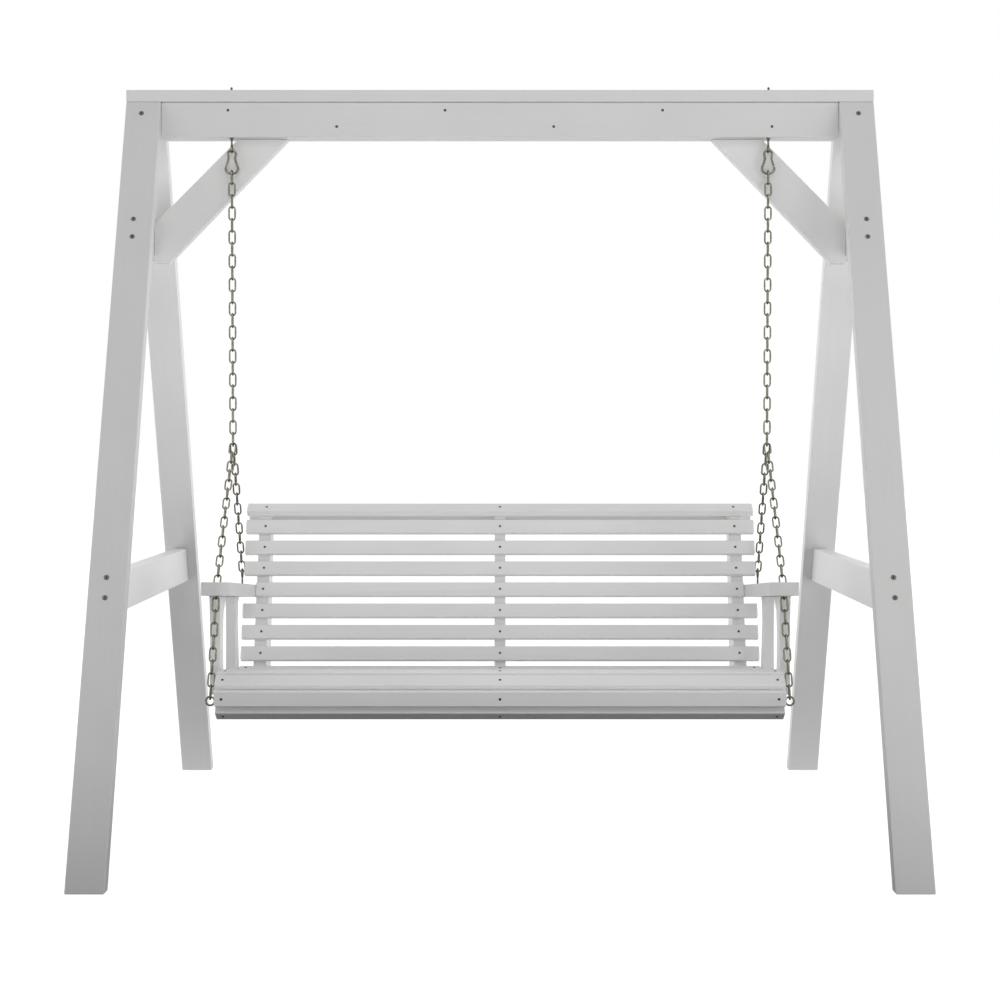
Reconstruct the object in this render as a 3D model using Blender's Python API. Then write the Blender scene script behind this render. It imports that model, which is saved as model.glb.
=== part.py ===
"""A two-person porch swing hanging by chains in a free-standing A-frame stand.

Metres, +Z up, +X along the beam, -Y towards the front. The origin is on the floor under the
middle of the beam.
"""

import bmesh
import bpy
from math import atan2, cos, pi, radians, sin, sqrt, tan
from mathutils import Matrix, Vector

# Stand
GAP = 0.0003
BOARD_THICK = 0.038
BOARD_WIDE = 0.089
STAND_HALF_WIDTH = 0.9645
LEG_INNER_X = STAND_HALF_WIDTH - BOARD_WIDE
LEG_TOP_Z = 1.876
LEG_FOOT_Y = 0.830
LEG_TOP_Y = 0.044
TOP_PLATE_THICK = 0.030
TOP_PLATE_HALF_DEPTH = 0.0445
BEAM_BOTTOM_Z = 1.786
TIE_INNER_X = 0.902
SIDE_RAIL_Z = (0.595, 0.690)
COLLAR_TIE_Z = (1.484, 1.573)
BRACE_BEAM_X = (0.552, 0.682)
BRACE_TIE_Z = (1.464, 1.566)
BRACE_FOOT_X = 0.865
BRACE_FRONT_Y = 0.0005

# Swing
SLAT_HALF_LENGTH = 0.690
SLAT_WIDE = 0.038
SLAT_THICK = 0.019
RIB_THICK = 0.033
SEAT_RIB_OUTER_X = 0.690
BACK_RIB_OUTER_X = SEAT_RIB_OUTER_X - RIB_THICK - GAP
CENTRE_RIB_THICK = 0.0295
RIB_BOTTOM_Z = 0.325
RIB_REAR_Y = 0.165
# From the lowest seat slat back to the rib's bottom edge.
RIB_CHIN = 0.045
# The back ribs' rear edge, from the rolled top down to the depth of the foot.
BACK_RIB_REAR = ((0.262, 0.735), (0.200, 0.470))
BACK_RIB_FOOT_Y = 0.176
BACK_RIB_FOOT_Z = 0.335
# Each seat slat's face: its centre's depth and height, and its slope in degrees. The first
# three wrap round the front edge, and the rest follow the dished seat to the back.
SEAT_SLATS = (
    (-0.3980, 0.3333, 148.6),
    (-0.4310, 0.3798, 98.0),
    (-0.4055, 0.4238, 35.6),
    (-0.3600, 0.4398, 4.0),
    (-0.3125, 0.4385, -7.0),
    (-0.2555, 0.4285, -12.0),
    (-0.1990, 0.4165, -12.0),
    (-0.1420, 0.4060, -9.0),
    (-0.0845, 0.3995, -4.0),
    (-0.0265, 0.3985, 3.0),
    (0.0325, 0.4020, 9.0),
)
BACK_FOOT = (0.0636, 0.4373)
BACK_PITCH = 0.0592
BACK_LEAN = 21.0
STRAIGHT_BACK_SLATS = 7
# The two slats of the rolled top edge, given as in SEAT_SLATS.
ROLL_SLATS = ((0.2188, 0.8203, 31.0), (0.2830, 0.7885, -60.0))
ARM_SLAT = 3
ARM_X = (SEAT_RIB_OUTER_X - RIB_THICK, 0.727)
ARM_Y = (-0.385, 0.212)
ARM_TOP_Z = 0.659
ARM_THICK = 0.033
ARM_SLOPE = radians(5.0)
ARM_CORNER = 0.032
ARM_HOLE = (0.697, -0.320)
ARM_HOLE_RADII = (0.0165, 0.0205)
ARM_HOLE_CUT_Z = (0.55, 0.75)
POST_X = (SEAT_RIB_OUTER_X + GAP, 0.7173)
# Front and rear edges of a post from foot to arm: height, front and rear depth.
FRONT_POST = (
    (0.375, -0.312, -0.250),
    (0.460, -0.304, -0.255),
    (0.520, -0.300, -0.257),
    (0.575, -0.304, -0.243),
)
REAR_POST = (
    (0.375, -0.026, 0.045),
    (0.460, -0.020, 0.030),
    (0.520, -0.018, 0.020),
    (0.575, -0.022, 0.028),
)
# Front and rear depth of each post where it meets the arm.
POST_TOP_Y = ((-0.312, -0.198), (-0.030, 0.042))

# Chains and fittings
HANG_X = 0.696
HANG_Y = -0.019
EYE_RING_Z = 1.7575
EYE_RING_RADIUS = 0.00775
EYE_WIRE = 0.0025
EYE_SHANK_RADIUS = 0.004
EYE_TIP_Z = 1.917
BEAM_HOLE_DEPTH = 0.30
WASHER_RADIUS = 0.009
WASHER_THICK = 0.002
SCREW_EYE_RADIUS = 0.0105
FRONT_EYE_X = 0.712
FRONT_EYE_Y = -0.335
REAR_EYE_X = 0.7005
SCREW_EYE_SHANK = 0.003
SHANK_CLEARANCE = 0.0004
EYE_HOLE_RADIUS = SCREW_EYE_SHANK + SHANK_CLEARANCE
EYE_HOLE_DEPTH = 0.026
EYE_SHANK_IN_WOOD = 0.025
HOOK_TOP_Z = 1.7559
HOOK_BOTTOM_Z = 1.6945
HOOK_TOP_RADIUS = 0.0098
HOOK_BOTTOM_RADIUS = 0.0148
HOOK_WIRE = 0.0033
# Angles where the hook's wide bottom starts and its narrow top ends, in degrees.
HOOK_ANGLES = (-8, 8)
GATE_WIRE = HOOK_WIRE * 0.8
GATE_PLAY = 0.0010 + HOOK_WIRE * 0.2
LINK_PITCH = 0.03086
LINK_WIRE = 0.00225
LINK_HALF_WIDTH = 0.0078
# Half the straight length of a link's end bar, and how far its shoulders reach along it.
LINK_END_BAR = LINK_HALF_WIDTH * 0.55
LINK_SHOULDER = LINK_HALF_WIDTH * 0.62
LINK_BITE = 0.0006
# A square bar of this corner radius has the section of the round wire.
LINK_CORNER = LINK_WIRE * 1.25
LINK_REACH = LINK_WIRE - LINK_BITE
# Play between two pieces that hang in each other.
PLAY = 0.0006
UPPER_CHAIN_TOP_Z = HOOK_BOTTOM_Z + HOOK_WIRE + LINK_CORNER + PLAY - LINK_REACH
UPPER_LINKS = 23
FORK_Z = UPPER_CHAIN_TOP_Z - UPPER_LINKS * LINK_PITCH - 2 * LINK_REACH + 2 * LINK_CORNER + PLAY
FRONT_LINKS_ABOVE_ARM = 15
FRONT_LINKS_BELOW_ARM = 9
FRONT_CHAIN_ANGLE = radians(41.5)
REAR_LINKS = 13
REAR_CHAIN_ANGLE = radians(30.5)
# The seat tilts about the top bars of the lower chains.
FORK_AXIS_Z = FORK_Z + LINK_REACH * cos(FRONT_CHAIN_ANGLE)
# From the centre of a screw eye's ring up to the bar of the link that pulls on it.
RING_LIFT = SCREW_EYE_RADIUS - EYE_WIRE - LINK_CORNER - 2 * PLAY

WHITE = (0.80, 0.80, 0.80, 1.0)
ZINC = (0.46, 0.46, 0.43, 1.0)


def clear_scene():
    for obj in list(bpy.data.objects):
        bpy.data.objects.remove(obj, do_unlink=True)


def material(name, colour, roughness, metallic):
    made = bpy.data.materials.new(name)
    made.use_nodes = True
    shader = made.node_tree.nodes["Principled BSDF"]
    shader.inputs["Base Color"].default_value = colour
    shader.inputs["Roughness"].default_value = roughness
    shader.inputs["Metallic"].default_value = metallic
    return made


def painted(name):
    return material(name + "_paint", WHITE, 0.45, 0.0)


def plated(name):
    return material(name + "_zinc", ZINC, 0.35, 1.0)


def joint_empty(name, location):
    empty = bpy.data.objects.new(name, None)
    empty.location = location
    bpy.context.scene.collection.objects.link(empty)
    return empty


def add_object(name, mesh_builder, finish, parent=None):
    """Links an object with a mesh in world coordinates, and hangs it from its parent."""
    mesh = bpy.data.meshes.new(name)
    mesh_builder.normal_update()
    mesh_builder.to_mesh(mesh)
    mesh_builder.free()
    obj = bpy.data.objects.new(name, mesh)
    bpy.context.scene.collection.objects.link(obj)
    mesh.materials.append(finish)
    if parent is not None:
        mesh.transform(Matrix.Translation(-parent.location))
        obj.parent = parent
    return obj


def prism(outline, low, high, axis):
    """A closed outline extruded from low to high along axis "X", "Y" or "Z".

    The outline's points are (y, z) for X, (x, z) for Y and (x, y) for Z.
    """
    place = {
        "X": lambda a, b, c: (c, a, b),
        "Y": lambda a, b, c: (a, c, b),
        "Z": lambda a, b, c: (a, b, c),
    }[axis]
    shape = bmesh.new()
    lower = [shape.verts.new(place(a, b, low)) for a, b in outline]
    upper = [shape.verts.new(place(a, b, high)) for a, b in outline]
    shape.faces.new(lower)
    shape.faces.new(upper)
    count = len(outline)
    for i in range(count):
        j = (i + 1) % count
        shape.faces.new((lower[i], lower[j], upper[j], upper[i]))
    bmesh.ops.recalc_face_normals(shape, faces=shape.faces)
    return shape


def mirrored(outline, side):
    return [(side * a, b) for a, b in outline]


def span(side, inner, outer):
    return tuple(sorted((side * inner, side * outer)))


def tube(shape, path, across, radius, sides, closed):
    """Adds a tube along a path that lies in the plane across is normal to."""
    across = Vector(across).normalized()
    count = len(path)
    path = [Vector(point) for point in path]
    rings = []
    for i, point in enumerate(path):
        before = path[i - 1] if closed or i > 0 else point
        after = path[(i + 1) % count] if closed or i < count - 1 else point
        along = (after - before).normalized()
        outward = across.cross(along)
        ring = []
        for k in range(sides):
            turn = 2 * pi * (k + 0.5) / sides
            offset = outward * cos(turn) + across * sin(turn)
            ring.append(shape.verts.new(point + offset * radius))
        rings.append(ring)
    pairs = range(count if closed else count - 1)
    for i in pairs:
        here = rings[i]
        there = rings[(i + 1) % count]
        for k in range(sides):
            m = (k + 1) % sides
            shape.faces.new((here[k], here[m], there[m], there[k]))
    if not closed:
        shape.faces.new(rings[0])
        shape.faces.new(rings[-1])


def closed_up(shape):
    bmesh.ops.recalc_face_normals(shape, faces=shape.faces)
    return shape


def combine(obj, other, operation):
    """Joins or cuts obj with a hidden helper."""
    other.hide_render = True
    other.display_type = "WIRE"
    change = obj.modifiers.new(operation.lower() + "_" + other.name, "BOOLEAN")
    change.operation = operation
    change.object = other
    return obj


def rounded(obj):
    obj.data.shade_smooth()
    obj.data.set_sharp_from_angle(angle=radians(40))
    return obj


# Stand


def leg_slope():
    return (LEG_FOOT_Y - LEG_TOP_Y) / (LEG_TOP_Z - GAP)


def leg_cut():
    """Depth of a leg along a level line."""
    return BOARD_THICK / cos(atan2(LEG_FOOT_Y - LEG_TOP_Y, LEG_TOP_Z))


def leg_inner_y(z):
    """How far the inner face of a leg stands from the middle plane at a height."""
    return LEG_FOOT_Y - leg_cut() - leg_slope() * z


def make_leg(name, side, end):
    top = LEG_TOP_Z - GAP
    inner_top = max(leg_inner_y(top), GAP)
    outline = [
        (end * LEG_FOOT_Y, 0.0),
        (end * LEG_TOP_Y, top),
        (end * inner_top, top),
        (end * leg_inner_y(0.0), 0.0),
    ]
    low, high = span(side, LEG_INNER_X, STAND_HALF_WIDTH)
    return add_object(name, prism(outline, low, high, "X"), painted(name))


def make_cross_tie(name, side, heights):
    low_z, high_z = heights
    low_y = leg_inner_y(low_z) - GAP * sqrt(1 + leg_slope() ** 2)
    high_y = leg_inner_y(high_z) - GAP * sqrt(1 + leg_slope() ** 2)
    outline = [(-low_y, low_z), (low_y, low_z), (high_y, high_z), (-high_y, high_z)]
    low, high = span(side, TIE_INNER_X, TIE_INNER_X + BOARD_THICK)
    return add_object(name, prism(outline, low, high, "X"), painted(name))


def make_knee_brace(name, side):
    tie = TIE_INNER_X - GAP
    beam = BEAM_BOTTOM_Z - GAP
    outline = [
        (BRACE_BEAM_X[0], beam),
        (BRACE_FOOT_X, BRACE_TIE_Z[0]),
        (tie, BRACE_TIE_Z[0]),
        (tie, BRACE_TIE_Z[1]),
        (BRACE_BEAM_X[1], beam),
    ]
    shape = prism(mirrored(outline, side), BRACE_FRONT_Y, BOARD_THICK - GAP, "Y")
    return add_object(name, shape, painted(name))


def drill(name, radius, centre, depth, axis):
    """A hidden round bar that cuts a hole along axis "X" or "Z"."""
    shape = bmesh.new()
    bmesh.ops.create_cone(
        shape, cap_ends=True, segments=12, radius1=radius, radius2=radius, depth=depth
    )
    turn = Matrix.Rotation(pi / 2, 4, "Y") if axis == "X" else Matrix.Identity(4)
    bmesh.ops.transform(shape, matrix=Matrix.Translation(centre) @ turn, verts=shape.verts)
    return add_object(name, shape, painted(name))


def make_beam():
    half = LEG_INNER_X - GAP
    top = LEG_TOP_Z - GAP
    corners = [(-half, BEAM_BOTTOM_Z), (half, BEAM_BOTTOM_Z), (half, top), (-half, top)]
    front = prism(corners, -BOARD_THICK, -GAP / 2, "Y")
    front = add_object("beam_front_board", front, painted("beam_front_board"))
    rear = prism(corners, GAP / 2, BOARD_THICK, "Y")
    add_object("beam_rear_board", rear, painted("beam_rear_board"))
    width = STAND_HALF_WIDTH
    deep = TOP_PLATE_HALF_DEPTH
    outline = [(-width, -deep), (width, -deep), (width, deep), (-width, deep)]
    plate = prism(outline, LEG_TOP_Z, LEG_TOP_Z + TOP_PLATE_THICK, "Z")
    plate = add_object("top_plate", plate, painted("top_plate"))
    for side, word in ((-1, "left"), (1, "right")):
        middle = (side * HANG_X, HANG_Y, (BEAM_BOTTOM_Z + LEG_TOP_Z) / 2)
        radius = EYE_SHANK_RADIUS + SHANK_CLEARANCE
        hole = drill("eye_hole_" + word, radius, middle, BEAM_HOLE_DEPTH, "Z")
        combine(front, hole, "DIFFERENCE")
        combine(plate, hole, "DIFFERENCE")


# Swing


def slat_frame(slat):
    """A slat's face centre, direction along the profile and outward normal, as (y, z)."""
    y, z, slope = slat
    turn = radians(slope)
    return Vector((y, z)), Vector((cos(turn), sin(turn))), Vector((-sin(turn), cos(turn)))


def slat_outline(slat):
    centre, along, outward = slat_frame(slat)
    half = along * (SLAT_WIDE / 2)
    inner = centre - outward * SLAT_THICK
    return [tuple(centre - half), tuple(centre + half), tuple(inner + half), tuple(inner - half)]


def slat_seating(slat):
    """The two ends of the flat on a rib that a slat rests on."""
    centre, along, outward = slat_frame(slat)
    inner = centre - outward * (SLAT_THICK + GAP)
    half = along * (SLAT_WIDE / 2)
    return [tuple(inner - half), tuple(inner + half)]


def back_slats():
    lean = radians(BACK_LEAN)
    slats = []
    for i in range(STRAIGHT_BACK_SLATS):
        y = BACK_FOOT[0] + BACK_PITCH * i * sin(lean)
        z = BACK_FOOT[1] + BACK_PITCH * i * cos(lean)
        slats.append((y, z, 90.0 - BACK_LEAN))
    return slats + list(ROLL_SLATS)


def seat_rib_outline():
    outline = []
    for slat in SEAT_SLATS:
        outline += slat_seating(slat)
    outline.append((RIB_REAR_Y, outline[-1][1]))
    outline.append((RIB_REAR_Y, RIB_BOTTOM_Z))
    outline.append((SEAT_SLATS[0][0] + RIB_CHIN, RIB_BOTTOM_Z))
    return outline


def back_rib_outline(foot_z):
    """The rib's front edge, rolled top and rear edge, down to a level foot."""
    lean = tan(radians(BACK_LEAN))
    slats = back_slats()
    lowest = slat_seating(slats[0])[0]
    outline = [(lowest[0] - (lowest[1] - foot_z) * lean, foot_z)]
    outline.append(slat_seating(slats[STRAIGHT_BACK_SLATS - 1])[1])
    for slat in ROLL_SLATS:
        outline += slat_seating(slat)
    outline += BACK_RIB_REAR
    outline.append((BACK_RIB_FOOT_Y, foot_z))
    return outline


def fork_point(side):
    return Vector((side * HANG_X, HANG_Y, FORK_Z))


def front_chain_knee(side):
    """Where the front chain bends in the arm's hole."""
    length = LINK_PITCH * FRONT_LINKS_ABOVE_ARM
    direction = Vector((0, -sin(FRONT_CHAIN_ANGLE), -cos(FRONT_CHAIN_ANGLE)))
    return fork_point(side) + direction * length


def front_chain_end(side):
    knee = front_chain_knee(side)
    sideways = side * FRONT_EYE_X - knee.x
    forwards = FRONT_EYE_Y - knee.y
    length = LINK_PITCH * FRONT_LINKS_BELOW_ARM
    drop = sqrt(length**2 - sideways**2 - forwards**2)
    return knee + Vector((sideways, forwards, -drop))


def rear_chain_end(side):
    sideways = side * (REAR_EYE_X - HANG_X)
    length = sqrt((LINK_PITCH * REAR_LINKS) ** 2 - sideways**2)
    turn = REAR_CHAIN_ANGLE
    return fork_point(side) + Vector((sideways, length * sin(turn), -length * cos(turn)))


def eye_ring(end, before):
    """Centre of the ring that holds a chain's last link, and the direction of the chain's pull."""
    bar = end + (end - before).normalized() * LINK_REACH
    pull = (before - end) * Vector((0, 1, 1))
    pull.normalize()
    return bar - pull * RING_LIFT, pull


def front_eye(side):
    return eye_ring(front_chain_end(side), front_chain_knee(side))


def rear_eye(side):
    return eye_ring(rear_chain_end(side), fork_point(side))


def make_ribs(swing):
    for side, word in ((-1, "left"), (1, "right")):
        low, high = span(side, SEAT_RIB_OUTER_X - RIB_THICK, SEAT_RIB_OUTER_X)
        name = "seat_rib_" + word
        rib = add_object(name, prism(seat_rib_outline(), low, high, "X"), painted(name), swing)
        hole = (side * SEAT_RIB_OUTER_X, *front_eye(side)[0].yz)
        drilled = drill("front_eye_hole_" + word, EYE_HOLE_RADIUS, hole, 2 * EYE_HOLE_DEPTH, "X")
        combine(rib, drilled, "DIFFERENCE")
        low, high = span(side, BACK_RIB_OUTER_X - RIB_THICK, BACK_RIB_OUTER_X)
        name = "back_rib_" + word
        shape = prism(back_rib_outline(BACK_RIB_FOOT_Z), low, high, "X")
        add_object(name, shape, painted(name), swing)
    half = CENTRE_RIB_THICK / 2
    # The middle seat rib stops in front of the middle back rib, which stands on its own foot.
    outline = seat_rib_outline()
    stop_y = back_rib_outline(RIB_BOTTOM_Z)[0][0] - GAP
    outline[-3] = (back_rib_outline(outline[-3][1])[0][0] - 2 * GAP, outline[-3][1])
    outline[-2] = (stop_y - GAP, RIB_BOTTOM_Z)
    shape = prism(outline, -half, half, "X")
    add_object("seat_rib_centre", shape, painted("seat_rib_centre"), swing)
    shape = prism(back_rib_outline(RIB_BOTTOM_Z), -half, half, "X")
    add_object("back_rib_centre", shape, painted("back_rib_centre"), swing)


def make_slats(swing):
    for i, slat in enumerate(SEAT_SLATS):
        name = f"seat_slat_{i + 1:02d}"
        shape = prism(slat_outline(slat), -SLAT_HALF_LENGTH, SLAT_HALF_LENGTH, "X")
        add_object(name, shape, painted(name), swing)
    for i, slat in enumerate(back_slats()):
        name = f"back_slat_{i + 1}"
        half = BACK_RIB_OUTER_X - GAP if i == ARM_SLAT else SLAT_HALF_LENGTH
        add_object(name, prism(slat_outline(slat), -half, half, "X"), painted(name), swing)


def arm_z(y):
    """Height of the arm's top at a depth."""
    return ARM_TOP_Z - (y - ARM_Y[0]) * tan(ARM_SLOPE)


def corner_arc(cx, cy, radius, start, stop, steps):
    turns = [radians(start + (stop - start) * k / steps) for k in range(steps + 1)]
    return [(cx + radius * cos(turn), cy + radius * sin(turn)) for turn in turns]


def make_arm(side, word, swing):
    inner, outer = ARM_X
    front, rear = ARM_Y
    small = ARM_CORNER / 4
    outline = [(inner, rear), (outer, rear)]
    outline += corner_arc(outer - small, front + small, small, 0, -90, 2)
    outline += corner_arc(inner + ARM_CORNER, front + ARM_CORNER, ARM_CORNER, -90, -180, 6)
    shape = prism(mirrored(outline, side), 0.0, 1.0, "Z")
    for vert in shape.verts:
        vert.co.z = arm_z(vert.co.y) - (ARM_THICK if vert.co.z < 0.5 else 0.0)
    name = "arm_" + word
    arm = add_object(name, closed_up(shape), painted(name), swing)
    steps = 16
    oval = []
    for k in range(steps):
        t = 2 * pi * k / steps
        x = side * ARM_HOLE[0] + ARM_HOLE_RADII[0] * cos(t)
        oval.append((x, ARM_HOLE[1] + ARM_HOLE_RADII[1] * sin(t)))
    name = "chain_hole_" + word
    hole = add_object(name, prism(oval, *ARM_HOLE_CUT_Z, "Z"), painted(name), swing)
    combine(arm, hole, "DIFFERENCE")
    x, y, z = rear_eye(side)[0]
    name = "rear_eye_hole_" + word
    drilled = drill(name, EYE_HOLE_RADIUS, (x, y, arm_z(y)), 2 * EYE_HOLE_DEPTH, "Z")
    combine(arm, drilled, "DIFFERENCE")


def make_post(name, side, edges, top_y, swing):
    front = [(y_front, z) for z, y_front, y_rear in edges]
    rear = [(y_rear, z) for z, y_front, y_rear in edges]
    top = [(y, arm_z(y) - ARM_THICK - GAP) for y in top_y]
    outline = front + top + rear[::-1]
    low, high = span(side, *POST_X)
    return add_object(name, prism(outline, low, high, "X"), painted(name), swing)


# Chains and fittings


def circle_path(centre, radius, first, second, steps, start=0.0):
    turns = [start + 2 * pi * k / steps for k in range(steps)]
    first = Vector(first)
    second = Vector(second)
    return [Vector(centre) + first * (radius * cos(t)) + second * (radius * sin(t)) for t in turns]


def eye_bolt(name, ring_centre, ring_radius, ring_plane, shank, parent):
    """A ring on a turned shank.

    shank is its direction, radius, length, and its collar's distance, radius and thickness.
    """
    direction, radius, length, collar_at, collar_radius, collar = shank
    direction = Vector(direction)
    ring = bmesh.new()
    across = ring_plane[0].cross(ring_plane[1])
    tube(ring, circle_path(ring_centre, ring_radius, *ring_plane, 14), across, EYE_WIRE, 6, True)
    ring = add_object(name, closed_up(ring), plated(name), parent)
    start = Vector(ring_centre) + direction * ring_radius
    profile = [(0.0, radius), (length, radius)]
    if collar:
        profile[1:1] = [
            (collar_at, radius),
            (collar_at, collar_radius),
            (collar_at + collar, collar_radius),
            (collar_at + collar, radius),
        ]
    side = direction.orthogonal().normalized()
    other = direction.cross(side)
    steps = 12
    shape = bmesh.new()
    rings = []
    for along, r in profile:
        circle = circle_path(start + direction * along, r, side, other, steps)
        rings.append([shape.verts.new(p) for p in circle])
    for here, there in zip(rings, rings[1:]):
        for k in range(steps):
            m = (k + 1) % steps
            shape.faces.new((here[k], here[m], there[m], there[k]))
    shape.faces.new(rings[0])
    shape.faces.new(rings[-1])
    bar = add_object(name + "_shank", closed_up(shape), plated(name + "_shank"), parent)
    return rounded(combine(ring, bar, "UNION"))


def link_path(start, end, broad):
    """The eight-cornered centre line of one link from start to end, broad along a direction."""
    along = (end - start).normalized()
    top = start - along * LINK_REACH
    bottom = end + along * LINK_REACH
    return [
        top + broad * LINK_END_BAR,
        top + along * LINK_SHOULDER + broad * LINK_HALF_WIDTH,
        bottom - along * LINK_SHOULDER + broad * LINK_HALF_WIDTH,
        bottom + broad * LINK_END_BAR,
        bottom - broad * LINK_END_BAR,
        bottom - along * LINK_SHOULDER - broad * LINK_HALF_WIDTH,
        top + along * LINK_SHOULDER - broad * LINK_HALF_WIDTH,
        top - broad * LINK_END_BAR,
    ]


def add_links(shapes, start, direction, count, first):
    """Adds links in turn to the two shapes, starting with shapes[first].

    The links of shapes[0] are broad across X and those of shapes[1] broad in depth.
    """
    start = Vector(start)
    direction = Vector(direction).normalized()
    across = Vector((1, 0, 0))
    across = (across - direction * across.dot(direction)).normalized()
    deep = direction.cross(across).normalized()
    for i in range(count):
        kind = (first + i) % 2
        broad = across if kind == 0 else deep
        thin = deep if kind == 0 else across
        begin = start + direction * (LINK_PITCH * i)
        end = begin + direction * LINK_PITCH
        tube(shapes[kind], link_path(begin, end, broad), thin, LINK_CORNER, 4, True)
    return start + direction * (LINK_PITCH * count)


def make_chain(name, runs, parent):
    """One fused chain of straight runs of links, each run (start, direction, count, first)."""
    shapes = (bmesh.new(), bmesh.new())
    for run in runs:
        add_links(shapes, *run)
    chain = add_object(name, closed_up(shapes[0]), plated(name), parent)
    other = add_object(name + "_turned_links", closed_up(shapes[1]), plated(name + "_turned"), parent)
    combine(chain, other, "UNION")
    chain.modifiers[0].use_self = True
    return chain


def make_lower_chain(side, word, swing):
    fork = fork_point(side)
    knee = front_chain_knee(side)
    runs = [
        (fork, knee - fork, FRONT_LINKS_ABOVE_ARM, 0),
        (knee, front_chain_end(side) - knee, FRONT_LINKS_BELOW_ARM, 1),
        (fork, rear_chain_end(side) - fork, REAR_LINKS, 0),
    ]
    return make_chain("lower_chain_" + word, runs, swing)


def hook_path(side):
    """The snap hook's body: from the gate's pivot round the bottom, up the back and over."""
    x = side * HANG_X
    top = HOOK_TOP_Z - HOOK_TOP_RADIUS
    bottom = HOOK_BOTTOM_Z + HOOK_BOTTOM_RADIUS
    foot_turn, head_turn = HOOK_ANGLES
    lower = corner_arc(0.0, 0.0, HOOK_BOTTOM_RADIUS, foot_turn, 180 - foot_turn, 8)
    upper = corner_arc(0.0, 0.0, HOOK_TOP_RADIUS, 180, head_turn, 6)
    path = [Vector((x + side * a, HANG_Y, bottom - b)) for a, b in lower]
    return path + [Vector((x + side * a, HANG_Y, top + b)) for a, b in upper]


def make_hook(side, word, hanger):
    name = "snap_hook_" + word
    shape = bmesh.new()
    path = hook_path(side)
    tube(shape, path, (0, 1, 0), HOOK_WIRE, 8, False)
    rounded(add_object(name, closed_up(shape), plated(name), hanger))
    foot = path[0]
    head = path[-1]
    along = (head - foot).normalized()
    foot = foot + along * GATE_PLAY
    head = head - along * GATE_PLAY
    pivot = joint_empty("gate_pivot_" + word, foot)
    pivot.parent = hanger
    pivot.matrix_parent_inverse = Matrix.Translation(-hanger.location)
    gate = bmesh.new()
    tube(gate, [foot, head], (0, 1, 0), GATE_WIRE, 8, False)
    name = "hook_gate_" + word
    obj = add_object(name, closed_up(gate), plated(name), None)
    obj.data.transform(Matrix.Translation(-foot))
    obj.parent = pivot
    return rounded(obj)


def make_fittings(side, word, hanger, swing):
    x = side * HANG_X
    up = Vector((0, 0, 1))
    depth = Vector((0, 1, 0))
    ring = (x, HANG_Y, EYE_RING_Z)
    shank_start = EYE_RING_Z + EYE_RING_RADIUS
    washer_at = BEAM_BOTTOM_Z - GAP - WASHER_THICK - shank_start
    shank = (up, EYE_SHANK_RADIUS, EYE_TIP_Z - shank_start, washer_at, WASHER_RADIUS, WASHER_THICK)
    eye_bolt("beam_eye_bolt_" + word, ring, EYE_RING_RADIUS, (depth, up), shank, None)
    centre, pull = front_eye(side)
    inward = Vector((-side, 0, 0))
    outside = abs(centre.x) - SCREW_EYE_RADIUS - SEAT_RIB_OUTER_X
    shank = (inward, SCREW_EYE_SHANK, outside + EYE_SHANK_IN_WOOD, 0.0, 0.0, 0.0)
    name = "front_seat_eye_" + word
    eye_bolt(name, centre, SCREW_EYE_RADIUS, (Vector((1, 0, 0)), pull), shank, swing)
    centre, pull = rear_eye(side)
    outside = centre.z - SCREW_EYE_RADIUS - arm_z(centre.y)
    shank = (-up, SCREW_EYE_SHANK, outside + EYE_SHANK_IN_WOOD, 0.0, 0.0, 0.0)
    eye_bolt("rear_arm_eye_" + word, centre, SCREW_EYE_RADIUS, (depth, up), shank, swing)
    make_hook(side, word, hanger)
    top = (x, HANG_Y, UPPER_CHAIN_TOP_Z)
    make_chain("upper_chain_" + word, [(top, (0, 0, -1), UPPER_LINKS, 1)], hanger)
    make_lower_chain(side, word, swing)


def build():
    clear_scene()
    sides = ((-1, "left"), (1, "right"))
    swing = joint_empty("fork_axis", (-HANG_X, HANG_Y, FORK_AXIS_Z))
    make_beam()
    for side, word in sides:
        for end, place in ((-1, "front"), (1, "rear")):
            make_leg(f"{place}_leg_{word}", side, end)
        make_cross_tie("side_rail_" + word, side, SIDE_RAIL_Z)
        make_cross_tie("collar_tie_" + word, side, COLLAR_TIE_Z)
        make_knee_brace("knee_brace_" + word, side)
    make_ribs(swing)
    make_slats(swing)
    for side, word in sides:
        make_arm(side, word, swing)
        make_post("front_arm_post_" + word, side, FRONT_POST, POST_TOP_Y[0], swing)
        make_post("rear_arm_post_" + word, side, REAR_POST, POST_TOP_Y[1], swing)
        hanger = joint_empty("hanger_axis_" + word, (side * HANG_X, HANG_Y, EYE_RING_Z))
        make_fittings(side, word, hanger, swing)
    bpy.context.view_layer.update()


build()
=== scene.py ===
"""Looks for the porch swing: painted boards, zinc chains and fittings, screws, studio and camera."""

import math

import bmesh
import bpy
import numpy as np
from mathutils import Matrix, Vector


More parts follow.
